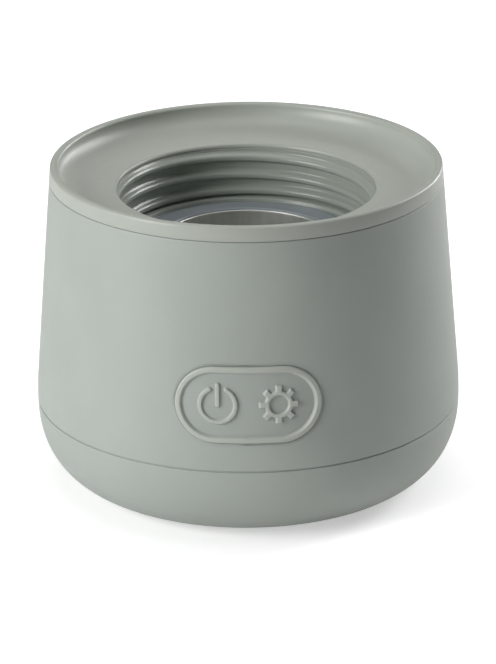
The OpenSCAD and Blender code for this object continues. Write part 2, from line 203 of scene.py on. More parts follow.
SAGE = srgb(160, 166, 160)
MATS = {
    "sage_plastic": plastic("moulded_sage", SAGE, 0.47, grain=0.16),
    "sage_cover": plastic("moulded_sage_cover", srgb(165, 170, 162), 0.38, grain=0.10),
    "sage_gloss": plastic("polished_sage", srgb(151, 157, 149), 0.24, grain=0.003, grain_scale=1500),
    "dark_plastic": plastic("dark_moulding", srgb(62, 64, 64), 0.55, grain=0.2),
    "inner_plastic": plastic("natural_moulding", srgb(214, 215, 208), 0.5, grain=0.12),
    "components": plastic("moulded_packages", srgb(28, 28, 30), 0.5, grain=0.2, grain_scale=5200),
    "black_rubber": plastic("black_rubber", srgb(26, 26, 27), 0.6, grain=0.15),
    "grey_rubber": plastic("grey_rubber", srgb(92, 95, 93), 0.72, grain=0.25, grain_scale=3800),
    "black_wire": plastic("black_insulation", srgb(20, 20, 20), 0.4, grain=0.05),
    "red_wire": plastic("red_insulation", srgb(150, 25, 20), 0.4, grain=0.05),
    "ceramic": plastic("glazed_ceramic", srgb(214, 208, 192), 0.25, grain=0.05),
    "bead": plastic("glass_bead", srgb(60, 104, 84), 0.15, grain=0.03),
    "cell": plastic("cell_sleeve", srgb(44, 104, 168), 0.28, grain=0.04, grain_scale=900),
    "led": plastic("led_lens", srgb(238, 236, 214), 0.2, grain=0.02),
    "ribbon": plastic("ribbon_film", srgb(222, 222, 216), 0.35, grain=0.05),
}


def metal(name, col, rough, stretch=(60, 60, 2600), bump=0.08, dist=0.00001):
    m = Mat(name)
    set_in(m.s, Metallic=1.0)
    streak = m.noise(1.0, 3, 0.6, stretch)
    m.link(m.ramp(streak, [(0.3, shade(col, 0.93)), (0.7, shade(col, 1.06))]), "Base Color")
    m.link(m.span(streak, rough - 0.05, rough + 0.06), "Roughness")
    m.bump(streak, bump, dist)
    return m.done()


MATS["steel"] = metal("satin_steel", srgb(206, 207, 203), 0.46, (900, 900, 40), 0.10)
MATS["alloy"] = metal("milled_alloy", srgb(205, 204, 200), 0.4, (900, 900, 60))
MATS["nickel"] = metal("nickel_plate", srgb(196, 193, 184), 0.28, (1200, 200, 200))
MATS["screw_steel"] = metal("zinc_plate", srgb(178, 178, 176), 0.32, (700, 700, 700))


def silicone_sage():
    m = Mat("sage_silicone")
    c = srgb(161, 167, 161)
    base = m.ramp(m.noise(80, 4), [(0.3, shade(c, 0.975)), (0.7, shade(c, 1.025))])
    # painted highlight: the raised border and icons are lightened by their height over the body's cone, standing in for
    # the light they catch
    t = m.t
    sep = t.nodes.new("ShaderNodeSeparateXYZ")
    t.links.new(m.c.outputs["Object"], sep.inputs[0])
    flat = t.nodes.new("ShaderNodeCombineXYZ")
    t.links.new(sep.outputs[0], flat.inputs[0])
    t.links.new(sep.outputs[1], flat.inputs[1])
    rad = t.nodes.new("ShaderNodeVectorMath")
    rad.operation = "LENGTH"
    t.links.new(flat.outputs[0], rad.inputs[0])
    k = (TOP_R - BLEND_X) / (COVER_Z - BLEND_Z)
    cone = t.nodes.new("ShaderNodeMath")
    cone.operation = "MULTIPLY_ADD"
    cone.inputs[1].default_value = -k
    cone.inputs[2].default_value = -(BLEND_X - k * BLEND_Z) * MM
    t.links.new(sep.outputs[2], cone.inputs[0])
    lift = t.nodes.new("ShaderNodeMath")
    lift.operation = "ADD"
    t.links.new(rad.outputs["Value"], lift.inputs[0])
    t.links.new(cone.outputs[0], lift.inputs[1])
    # mask of the painted highlight: 0 on the pad's face, rising to 1 on the raised border and icons
    up = m.span(lift.outputs[0], 0.0, 1.0, 0.00004, 0.00030)
    relief_highlight_mix = t.nodes.new("ShaderNodeMix")
    relief_highlight_mix.data_type = "RGBA"
    t.links.new(up, relief_highlight_mix.inputs[0])
    t.links.new(base, relief_highlight_mix.inputs[6])
    # the paler colour of the painted highlight on the raised relief
    relief_highlight_mix.inputs[7].default_value = srgb(173, 178, 170)
    m.link(relief_highlight_mix.outputs[2], "Base Color")
    m.link(m.span(m.noise(1300, 2), 0.44, 0.52), "Roughness")
    set_in(m.s, IOR=1.43, Subsurface_Weight=0.12, Subsurface_Scale=0.0006)
    m.s.inputs["Subsurface Radius"].default_value = (1.0, 0.95, 0.9)
    m.bump(m.noise(3600, 2, 0.6), 0.10, 0.000025)
    m.bump(m.noise(240, 2), 0.05, 0.00005)
    return m.done()


def silicone_clear():
    m = Mat("clear_silicone")
    c = srgb(134, 141, 145)
    m.link(m.ramp(m.noise(90, 3), [(0.3, shade(c, 0.975)), (0.7, shade(c, 1.025))]), "Base Color")
    m.link(m.span(m.noise(260, 2), 0.17, 0.24), "Roughness")
    set_in(m.s, IOR=1.41, Subsurface_Weight=0.35, Subsurface_Scale=0.0015)
    m.s.inputs["Subsurface Radius"].default_value = (0.8, 0.95, 1.1)
    m.bump(m.noise(180, 2), 0.04, 0.00004)
    return m.done()


def felt():
    m = Mat("needled_felt")
    m.link(m.ramp(m.noise(1400, 6, 0.7), [(0.3, srgb(196, 192, 180)), (0.7, srgb(236, 233, 222))]), "Base Color")
    set_in(m.s, Roughness=0.95, Sheen_Weight=0.3)
    m.bump(m.noise(2200, 6, 0.75), 0.6, 0.0002)
    return m.done()


def board():
    m = Mat("solder_mask")
    m.link(m.ramp(m.noise(420, 1), [(0.47, srgb(16, 84, 52)), (0.53, srgb(22, 102, 62))]), "Base Color")
    m.link(m.span(m.noise(900, 2), 0.22, 0.34), "Roughness")
    m.bump(m.voronoi(300), 0.08, 0.00003)
    return m.done()


MATS["sage_silicone"] = silicone_sage()
MATS["clear_silicone"] = silicone_clear()
MATS["felt"] = felt()
MATS["board"] = board()

for part in frame["record"]["subparts"]:
    o = frame["nodes"][part["node"]]
    m = MATS[part["material_slot"]]
    if not o.material_slots:
        o.data.materials.append(m)
    for sl in o.material_slots:
        sl.material = m


# ------------------------------------------------------------------ mesh helpers (mm in, metres out)
def make(name, verts, faces, mat, body, sharp=None):
    me = bpy.data.meshes.new(name)
    me.from_pydata([tuple(float(c) * MM for c in v) for v in verts], [], [tuple(int(i) for i in f) for f in faces])
    me.validate()
    bm = bmesh.new()
    bm.from_mesh(me)
    bmesh.ops.remove_doubles(bm, verts=bm.verts, dist=1e-7)
    bmesh.ops.recalc_face_normals(bm, faces=bm.faces)
    if sharp:
        for e in bm.edges:
            if len(e.link_faces) == 2 and e.calc_face_angle(0) > sharp * D2R:
                e.smooth = False
    for f in bm.faces:
        f.smooth = True
    bm.to_mesh(me)
    bm.free()
    me.materials.append(mat)
    o = bpy.data.objects.new(name, me)
    bpy.context.scene.collection.objects.link(o)
    if body:
        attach(o, body)
    return o


def rounded(points, closed=True, step=11, lead=0.12):
    """points are (r, z, radius of the corner); gives a polyline with true arcs and a support point beside each arc."""
    P = [np.array(p[:2], float) for p in points]
    R = [p[2] if len(p) > 2 else 0 for p in points]
    n = len(P)
    out = []
    for i in range(n):
        if not closed and i in (0, n - 1):
            out.append(P[i])
            continue
        a, b, c = P[i - 1], P[i], P[(i + 1) % n]
        u, v = a - b, c - b
        lu, lv = np.linalg.norm(u), np.linalg.norm(v)
        if R[i] <= 0 or lu < 1e-6 or lv < 1e-6:
            out.append(b)
            continue
        u, v = u / lu, v / lv
        ang = math.acos(max(-1, min(1, float(u @ v))))
        if ang > 176 * D2R:
            out.append(b)
            continue
        t = min(R[i] / math.tan(ang / 2), lu * 0.46, lv * 0.46)
        r = t * math.tan(ang / 2)
        s, e = b + u * t, b + v * t
        mid = (u + v) / np.linalg.norm(u + v)
        ctr = b + mid * (r / math.sin(ang / 2))
        turn = math.pi - ang
        k = max(3, int(math.ceil(turn / D2R / step)))
        a0 = math.atan2(*(s - ctr)[::-1])
        d = math.atan2(*(e - ctr)[::-1]) - a0
        d = (d + math.pi) % (2 * math.pi) - math.pi
        if lu * 0.5 > t + lead:
            out.append(b + u * (t + lead))
        for j in range(k + 1):
            q = a0 + d * j / k
            out.append(ctr + r * np.array([math.cos(q), math.sin(q)]))
        if lv * 0.5 > t + lead:
            out.append(b + v * (t + lead))
    return out


def arc_pts(cx, cz, r, a0, a1, n):
    return [(cx + r * math.cos((a0 + (a1 - a0) * i / n) * D2R), cz + r * math.sin((a0 + (a1 - a0) * i / n) * D2R)) for i in range(n + 1)]


def revolve_mesh(prof, n=288, closed=True, rfun=None):
    prof = [np.array(p[:2], float) for p in prof]
    th = np.linspace(0, 2 * math.pi, n, endpoint=False)
    verts, rows = [], []
    for r, z in prof:
        if abs(r) < 1e-6:
            rows.append([len(verts)] * n)
            verts.append((0, 0, z))
        else:
            start = len(verts)
            rr = np.full(n, r) if rfun is None else rfun(r, z, th)
            verts += [(a * math.cos(t), a * math.sin(t), z) for a, t in zip(rr, th)]
            rows.append(list(range(start, start + n)))
    faces = []
    m = len(rows)
    for i in range(m if closed else m - 1):
        A, B = rows[i], rows[(i + 1) % m]
        for j in range(n):
            k = (j + 1) % n
            q = [A[j], A[k], B[k], B[j]]
            f = [v for x, v in enumerate(q) if v not in q[:x]]
            if len(f) > 2:
                faces.append(f)
    return verts, faces


# ------------------------------------------------------------------ base shell
def bowl(rb, r, h, n, zc, top, count, m=2.15, nn=2.6):
    te = math.asin(((top - zc) / h) ** (m / 2))
    return [(rb + (r - rb) * max(math.cos(te * i / count), 0) ** (2 / nn), top - h * math.sin(te * i / count) ** (2 / m)) for i in range(count + 1)]


def build_base():
    top = SEAM_Z - 0.2
    outer = bowl(28, BODY_R, top, 0, BASE_Z, top, 40)[1:-1]
    low_r = bowl(28, BODY_R, top, 0, BASE_Z, top, 40)[-1][0]
    inner = bowl(27, BODY_R - WALL, top - 2.2, 0, BASE_Z + 2.2, top, 24)[3:]
    prof = [(0, BASE_Z), (low_r - 2.0, BASE_Z)]
    prof += rounded([(low_r - 1.9, BASE_Z), (low_r, BASE_Z, 4), outer[::-1][0]], closed=False)[1:-1]
    prof += outer[::-1]
    prof += [tuple(p) for p in rounded([outer[0], (BODY_R, SEAM_Z, 0.16), (BODY_R - WALL - 0.1, SEAM_Z)], closed=False)[1:-1]]
    rr = BODY_R - WALL
    prof += [(rr - 0.1, SEAM_Z), (rr - 0.1, SEAM_Z + 2.8), (rr - 0.3, SEAM_Z + 3), (rr - 1.5, SEAM_Z + 3), (rr - 1.5, SEAM_Z - 3.5)]
    prof += inner + [(0, BASE_Z + 2.2)]
    v, f = revolve_mesh(prof, 320, closed=False)
    o = make("base_bowl", v, f, MATS["sage_plastic"], None, sharp=50)
    # foot pockets and screw counterbores
    cut = bmesh.new()
    flo, fhi = nbox("rubber_feet")
    fx, fy = (fhi[0] - flo[0]) / 2 - 4.5, (fhi[1] - flo[1]) / 2 - 4.5
    for x in (-fx, fx):
        for y in (-fy, fy):
            for r, z in ((4.6, BASE_Z + 1.0), (2.4, 2.9)):
                d = bmesh.ops.create_cone(cut, cap_ends=True, segments=72, radius1=r * MM, radius2=r * MM, depth=(z + 2) * MM)
                bmesh.ops.translate(cut, verts=d["verts"], vec=Vector((x, y, (z - 2) / 2)) * MM)
    apply_cut(o, cut)
    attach(o, "warmer")
    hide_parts("base_shell")
    return o


def apply_cut(o, cut_bm):
    me = bpy.data.meshes.new("cutter")
    cut_bm.to_mesh(me)
    cut_bm.free()
    c = bpy.data.objects.new("cutter", me)
    bpy.context.scene.collection.objects.link(c)
    md = o.modifiers.new("cut", "BOOLEAN")
    md.operation = "DIFFERENCE"
    md.object = c
    md.solver = "EXACT"
    md.use_self = True
    bpy.context.view_layer.update()
    dg = bpy.context.evaluated_depsgraph_get()
    new = bpy.data.meshes.new_from_object(o.evaluated_get(dg))
    o.modifiers.clear()
    old = o.data
    mats = list(old.materials)
    o.data = new
    new.materials.clear()
    for m in mats[:1]:
        new.materials.append(m)
    bpy.data.meshes.remove(old)
    bpy.data.objects.remove(c)
    bm = bmesh.new()
    bm.from_mesh(new)
    for e in bm.edges:
        if len(e.link_faces) == 2 and e.calc_face_angle(0) > 40 * D2R:
            e.smooth = False
    for f in bm.faces:
        f.smooth = True
        f.material_index = 0
    bm.to_mesh(new)
    bm.free()


build_base()


# ------------------------------------------------------------------ stadium helpers on the front of the body
def stadium_sd(s, z, w, h):
    """signed distance to a stadium outline centred at 0: negative inside."""
    q = np.clip(s, -(w - h) / 2, (w - h) / 2)
    return np.hypot(s - q, z) - h / 2


def on_body(x, z, lift):
    """the point of the front surface at this x and z, lifted along the local normal."""
    x, z, lift = np.broadcast_arrays(np.asarray(x, float), np.asarray(z, float), np.asarray(lift, float))
    r = body_r(z)
    y = -np.sqrt(np.maximum(r * r - x * x, 1))
    slope = (body_r(z + 0.01) - body_r(z - 0.01)) / 0.02
    nx, ny, nz = x / r, y / r, -slope
    k = 1 / np.sqrt(nx * nx + ny * ny + nz * nz)
    return np.stack([x + nx * k * lift, y + ny * k * lift, z + nz * k * lift], -1)


def stadium_ray(cx, phi, w, h, half):
    """distance from (cx, 0) along angle phi to the stadium's outline, or to the line x = 0 on the inner side."""
    d = np.array([math.cos(phi), math.sin(phi)])
    lo_, hi_ = 0.0, 60.0
    for _ in range(60):
        m = (lo_ + hi_) / 2
        p = np.array([cx, 0]) + d * m
        if stadium_sd(p[0], p[1], w, h) < 0:
            lo_ = m
        else:
            hi_ = m
    t = lo_
    edge = True
    if half * d[0] < -1e-9:  # towards the centre line
        tc = abs(cx) / abs(d[0])
        if tc < t:
            t, edge = tc, False
    return t, edge


# ------------------------------------------------------------------ body shell
def build_body():
    hole_w, hole_h = KEY_W + 0.05, KEY_H + 0.05
    n_out = 480
    # rows of the outer face, from the lower seam up
    zs = list(SEAM_Z + 0.25 + np.array([0.0, 0.04, 0.1, 0.2, 0.45]))
    zs += list(np.linspace(SEAM_Z + 1.2, COVER_Z - 1.0, 60)) + [COVER_Z - 0.5, COVER_Z - 0.22]
    th = np.linspace(0, 2 * math.pi, n_out, endpoint=False)
    front_a = -math.pi / 2
    verts, faces = [], []

    def add(p):
        verts.append(tuple(p))
        return len(verts) - 1

    grid = []
    for k, z in enumerate(zs):
        drop = [0.16, 0.075, 0.025, 0.0, 0.0][k] if k < 5 else 0
        r = float(body_r(z)) - drop
        grid.append([add((r * math.cos(t), r * math.sin(t), z)) for t in th])
    windows = []

    def cut_window(w, h, zc, reach, half_deg, turn, rings_of):
        """swap the grid cells round an opening for rings that follow its outline; turn is 1 at the front, -1 at the back."""
        mid = front_a if turn > 0 else front_a + math.pi
        zi = [i for i, z in enumerate(zs) if zc - reach < z < zc + reach]
        i0, i1 = zi[0], zi[-1]

        def off(j):
            return (th[j] - mid + math.pi) % (2 * math.pi) - math.pi
        cols = sorted([j for j in range(n_out) if abs(off(j)) <= half_deg * D2R + 1e-9], key=off)
        windows.append((i0, i1, set(cols[:-1])))
        loop = [grid[i0][j] for j in cols] + [grid[i][cols[-1]] for i in range(i0 + 1, i1 + 1)]
        loop += [grid[i1][j] for j in cols[::-1][1:]] + [grid[i][cols[0]] for i in range(i1 - 1, i0, -1)]
        B = np.array([(turn * verts[v][0], verts[v][2] - zc) for v in loop])
        m = len(loop)
        ww, r = (w - h) / 2, h / 2

        def outline(u):
            """point of the opening's outline at fraction u of its length, starting at the bottom centre going right."""
            Ls, La = 2 * ww, math.pi * r
            s = (u % 1.0) * (2 * Ls + 2 * La)
            if s < Ls / 2:
                return (s, -r)
            s -= Ls / 2
            if s < La:
                a = -math.pi / 2 + s / r
                return (ww + r * math.cos(a), r * math.sin(a))
            s -= La
            if s < Ls:
                return (ww - s, r)
            s -= Ls
            if s < La:
                a = math.pi / 2 + s / r
                return (-ww + r * math.cos(a), r * math.sin(a))
            s -= La
            return (-ww + s, -r)
        seg = np.hypot(*(np.roll(B, -1, 0) - B).T)
        start = int(np.argmin(np.hypot(B[:, 0], B[:, 1] - B[:, 1].min())))
        frac = np.concatenate([[0], np.cumsum(np.roll(seg, -start))])[:-1] / seg.sum() + B[start][0] / seg.sum()
        order = [(start + i) % m for i in range(m)]
        S = np.array([outline(u) for u in frac])
        Bo = B[order]
        rings = [[loop[i] for i in order]]

        def put(x, z, lift=0.0, y=None):
            p = on_body(x, z + zc, lift)
            yy = p[1] if y is None else -y
            return add((turn * p[0] if y is None else turn * x, turn * yy, z + zc))
        for t in [0.18, 0.36, 0.53, 0.68, 0.8, 0.89, 0.95]:
            rings.append([put(x, z) for x, z in Bo * (1 - t) + S * t])
        C = np.clip(S[:, 0], -ww, ww)
        N = np.stack([S[:, 0] - C, S[:, 1]], 1)
        N /= np.linalg.norm(N, axis=1)[:, None]
        for out_, lift, y in rings_of:
            rings.append([put(x, z, lift, y) for x, z in S + N * out_])
        for a, b in zip(rings[:-1], rings[1:]):
            for j in range(m):
                k = (j + 1) % m
                faces.append((a[j], a[k], b[k], b[j]))

    cut_window(hole_w, hole_h, KEY_Z, 12, 27, 1,
               [(o_, l_, None) for o_, l_ in ((0.45, 0.0), (0.16, 0.0), (0.1, -0.012), (0.045, -0.045), (0.012, -0.1), (0.0, -0.18), (0.0, -0.6), (0.0, -WALL))])
    # the socket's slot, inside a shallow pocket with a flat floor
    cut_window(12.6, 7.0, SOCK_Z, 6.5, 13, -1,
               [(0.5, 0.0, None), (0.3, 0.0, None), (0.19, -0.02, None), (0.09, -0.07, None), (0.025, -0.16, None), (0.0, -0.28, None),
                (0.0, 0, 43.25), (-0.03, 0, 43.12), (-0.11, 0, 43.03), (-0.25, 0, 43.0), (-0.9, 0, 43.0), (-1.32, 0, 43.0),
                (-1.40, 0, 42.98), (-1.46, 0, 42.92), (-1.48, 0, 42.84), (-1.48, 0, 42.1)])
    for i in range(len(zs) - 1):
        for j in range(n_out):
            if any(a <= i < b and j in cs for a, b, cs in windows):
                continue
            k = (j + 1) % n_out
            faces.append((grid[i][j], grid[i][k], grid[i + 1][k], grid[i + 1][j]))
    # top edge, inner wall and lower edge
    th_rows = []
    rr = float(body_r(COVER_Z))
    prof = [(rr - 0.02 + 0.014, COVER_Z - 0.12), (rr - 0.05, COVER_Z - 0.04), (rr - 0.13, COVER_Z), (rr - WALL, COVER_Z)]
    prof += [(float(body_r(z)) - WALL, z) for z in np.linspace(COVER_Z - 0.5, SEAM_Z + 3.3, 24)]
    prof += [(BODY_R - WALL, SEAM_Z), (BODY_R - 0.24, SEAM_Z), (BODY_R - 0.24, SEAM_Z + 0.21), (BODY_R - 0.21, SEAM_Z + 0.25)]
    prev = grid[-1]
    for r, z in prof:
        row = [add((r * math.cos(t), r * math.sin(t), z)) for t in th]
        for j in range(n_out):
            k = (j + 1) % n_out
            # the inner wall is open behind the keypad as well
            ang = (th[j] - front_a + math.pi) % (2 * math.pi) - math.pi
            ang2 = (th[j] + (th[1] - th[0]) - front_a + math.pi) % (2 * math.pi) - math.pi
            zc = (verts[prev[j]][2] + z) / 2
            if r < float(body_r(max(z, SEAM_Z))) - 1 and prev is not grid[-1]:
                xs = r * math.sin((ang + ang2) / 2)
                if abs(ang) < 1.2 and stadium_sd(np.array(xs), np.array(zc - KEY_Z), hole_w - 1, hole_h - 1) < 0:
                    continue
                if abs(ang) > 2.6 and stadium_sd(np.array(xs), np.array(zc - SOCK_Z), 9.6, 3.9) < 0:
                    continue
            faces.append((prev[j], prev[k], row[k], row[j]))
        prev = row
    for j in range(n_out):
        k = (j + 1) % n_out
        faces.append((prev[j], prev[k], grid[0][k], grid[0][j]))
    o = make("body_sleeve", verts, faces, MATS["sage_plastic"], None, sharp=48)
    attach(o, "warmer")
    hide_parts("body_shell")
    return o


BODY = build_body()


# ------------------------------------------------------------------ top cover
def build_cover():
    p = [(TOP_R - 0.35, COVER_Z + 0.0), (TOP_R - 0.35, COVER_Z + 0.13), (TOP_R - 0.12, COVER_Z + 0.13)]
    p += arc_pts(TOP_R - 0.10, COVER_Z + 0.22, 0.09, -90, 0, 4)[1:]
    p += arc_pts(TOP_R - 0.84, RIM_Z - 0.63, 0.63, 2, 90, 12)
    p += arc_pts(TOP_R - 1.29, RIM_Z - 0.65, 0.65, 90, 180, 12)
    for a in np.linspace(0, 90, 45)[1:]:
        p.append((TOP_R - 1.94 - DISH_RUN * (1 - math.cos(a * D2R)), RIM_Z - 0.65 - (RIM_Z - 0.65 - DISH_Z - 0.1) * math.sin(a * D2R)))
    lip = 0.65
    lx = ROOT_R + 0.05 + lip
    p += [(lx + 3, DISH_Z + 0.02), (lx + 1.5, DISH_Z - 0.05), (lx + 0.3, DISH_Z - 0.14)]
    p += arc_pts(lx, DISH_Z - 0.15 - lip, lip, 92, 180, 10)
    p += [(ROOT_R + 0.05, COLLAR_HI + 0.12), (ROOT_R + 0.12, COLLAR_HI + 0.02), (29.6, COLLAR_HI + 0.02), (29.6, 57.5), (31.4, 57.5), (31.4, DISH_Z - 2.1),
          (35.4, DISH_Z - 2.0), (37.45, DISH_Z - 1.7), (37.45, 59.5), (38.95, 59.5), (38.95, COVER_Z)]
    v, f = revolve_mesh(p, 360)
    o = make("cover_ring", v, f, MATS["sage_cover"], "warmer", sharp=50)
    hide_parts("top_cover")
    return o


build_cover()


# ------------------------------------------------------------------ collar with the wound ridge
LAND = 0.9
A0 = 90 + 360 * ((SEAL_HI + LAND + 0.85) - (SEAL_HI + 8.5)) / PITCH
A1 = 90 + 360 * 1.25 / PITCH


# the ridge's section: height over the wall against the distance from its middle line, corners eased
_u = np.linspace(-1.6, 2.0, 361)
_b = np.interp(_u, [-0.97, -0.62, -0.28, 0.28, 0.62, 1.0, 1.42], [0, 0.78, 1.0, 1.0, 0.8, 0.30, 0], left=0, right=0)
_k = np.hanning(37)
RIDGE_U, RIDGE_B = _u, np.convolve(_b, _k / _k.sum(), "same")
RIDGE_B = RIDGE_B / RIDGE_B.max()


def smooth(t):
    t = np.clip(t, 0, 1)
    return t * t * (3 - 2 * t)


def ridge(z, th):
    deg = np.degrees(th)
    h = np.zeros_like(deg)
    for k in range(-3, 3):
        a = deg + 360 * k
        zc = SEAL_HI + 8.5 + PITCH * (a - 90) / 360
        u = z - zc
        on = smooth((a - A0) / 40) * smooth((A1 - a) / 40) * ((a > A0) & (a < A1))
        b = np.interp(u, RIDGE_U, RIDGE_B)
        h = np.maximum(h, b * on)
    ring = np.interp(z - (SEAL_HI + LAND + 0.05), RIDGE_U, RIDGE_B)
    return np.maximum(h, ring)


def build_collar():
    top = COLLAR_HI
    land = SEAL_HI + LAND
    zs = np.linspace(land - 0.95, top - 0.12, 130)
    wall = [(ROOT_R, z) for z in zs][::-1]
    d = ROOT_R - CREST_R - 0.06

    def rf(r, z, th):
        if abs(r - ROOT_R) < 1e-6:
            return r - d * ridge(z, th)
        return np.full(len(th), r)

    p = [(25.1, COLLAR_LO), (FLANGE_R - 0.3, COLLAR_LO), (FLANGE_R, COLLAR_LO + 0.3), (FLANGE_R, COLLAR_LO + 1.7), (FLANGE_R - 0.3, COLLAR_LO + 2), (29.4, COLLAR_LO + 2),
         (29.4, 59.2), (28.5, 59.2), (28.5, 60.4), (29.4, 60.4), (29.4, top), (ROOT_R + 0.14, top), (ROOT_R + 0.04, top - 0.04)]
    p += wall
    p += [(ROOT_R - 0.06, land - 1.02), (ROOT_R - 0.2, land - 1.08), (25.4, land - 1.1), (25.2, land - 1.14), (25.1, land - 1.25)]
    v, f = revolve_mesh(p, 480, rfun=rf)
    o = make("throat_collar", v, f, MATS["sage_gloss"], "warmer", sharp=50)
    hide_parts("thread_collar")
    return o


build_collar()


# ------------------------------------------------------------------ seal and cup
def build_seal():
    r0 = SEAL_IN
    p = rounded([(r0, SEAL_LO, 0.1), (SEAL_OUT, SEAL_LO, 0.15), (SEAL_OUT, SEAL_HI - 0.9, 0.15), (24.2, SEAL_HI - 0.9, 0.2),
                 (22.3, SEAL_HI, 0.9), (20.6, SEAL_HI), (r0, SEAL_HI, 0.45)])
    v, f = revolve_mesh(p, 288)
    o = make("seal_moulding", v, f, MATS["clear_silicone"], "warmer", sharp=60)
    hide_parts("seal_ring")
    return o


def build_cup():
    t, ri = CUP_T, CUP_R
    fl = CUP_LO + t
    p = [(0, CUP_LO)] + arc_pts(ri - 2, fl + 2, 2 + t, -90, 0, 14)
    p += [(ri + t, CUP_FLANGE - 3)] + arc_pts(ri + t + 0.2, CUP_FLANGE - t - 0.2, 0.2, 180, 90, 5)
    p += rounded([(ri + t + 1, CUP_FLANGE - t), (CUP_OUT, CUP_FLANGE - t, 0.25), (CUP_OUT, CUP_FLANGE, 0.25), (ri + t + 0.2, CUP_FLANGE)], closed=False)
    p += [(ri + t, CUP_FLANGE), (ri + t, CUP_HI - 0.6)]
    p += arc_pts(ri + t - 0.25, CUP_HI - 0.25, 0.25, 0, 90, 6) + arc_pts(ri + 0.25, CUP_HI - 0.25, 0.25, 95, 180, 6)
    p += [(ri, z) for z in np.linspace(CUP_HI - 1, fl + 2.6, 8)] + arc_pts(ri - 2, fl + 2, 2, 0, -90, 12)
    p += [(r, fl) for r in (14, 11, 8, 5, 2)] + [(0, fl)]
    v, f = revolve_mesh(p, 256, closed=False)
    o = make("cup_shell", v, f, MATS["steel"], "warmer", sharp=60)
    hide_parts("heating_cup")
    return o


build_seal()
build_cup()


# ------------------------------------------------------------------ keypad skin
FACE = -0.12          # the pad's face, below the body's surface
RISE = 0.50           # how far the border stands out
BORDER = 1.4
R_WEB0, R_WEB1 = 4.72, 5.92
N_ANG = 384
SECT = 24


def border_height(x, z):
    d = -stadium_sd(x, z, KEY_W, KEY_H)       # distance in from the outline
    top = RISE - FACE
    outer = np.sqrt(np.clip(1 - (1 - np.clip(d / 0.5, 0, 1)) ** 2, 0, 1))
    inner = smooth((BORDER + 0.22 - d) / 0.62)
    return FACE + top * np.minimum(outer * 1.0, 1) * inner


def power_sd(x, z):
    """signed distance to the power icon: a ring open at the top, and a bar."""
    r = np.hypot(x, z)
    a = np.arctan2(x, z)
    ring = np.abs(r - 3.62) - 0.5
    gap = 28 * D2R
    ends = []
    for s in (-1, 1):
        ex, ez = 3.62 * math.sin(s * gap), 3.62 * math.cos(s * gap)
        ends.append(np.hypot(x - ex, z - ez) - 0.5)
    ring = np.where(np.abs(a) < gap, np.minimum(ends[0], ends[1]), ring)
    bz = np.clip(z, 0.0, 4.15)
    bar = np.hypot(x, z - bz) - 0.5
    return np.minimum(ring, bar)


def gear_sd(x, z):
    r = np.hypot(x, z)
    ring = np.maximum(r - 2.9, 1.9 - r)
    a = np.arctan2(z, x)
    k = np.round(a / (math.pi / 4)) * (math.pi / 4)
    u, v = x * np.cos(k) + z * np.sin(k), -x * np.sin(k) + z * np.cos(k)
    du, dv = np.abs(u - 3.2) - 0.82, np.abs(v) - 0.68
    q = 0.18
    tooth = np.hypot(np.maximum(du + q, 0), np.maximum(dv + q, 0)) + np.minimum(np.maximum(du, dv) + q, 0) - q
    h = np.clip(0.5 + 0.5 * (ring - tooth) / 0.25, 0, 1)
    return ring * (1 - h) + tooth * h - 0.25 * h * (1 - h)


def relief(sd, top):
    t = np.clip((0.08 - sd) / 0.36, 0, 1)
    return top * np.sin(t * math.pi / 2) ** 1.4


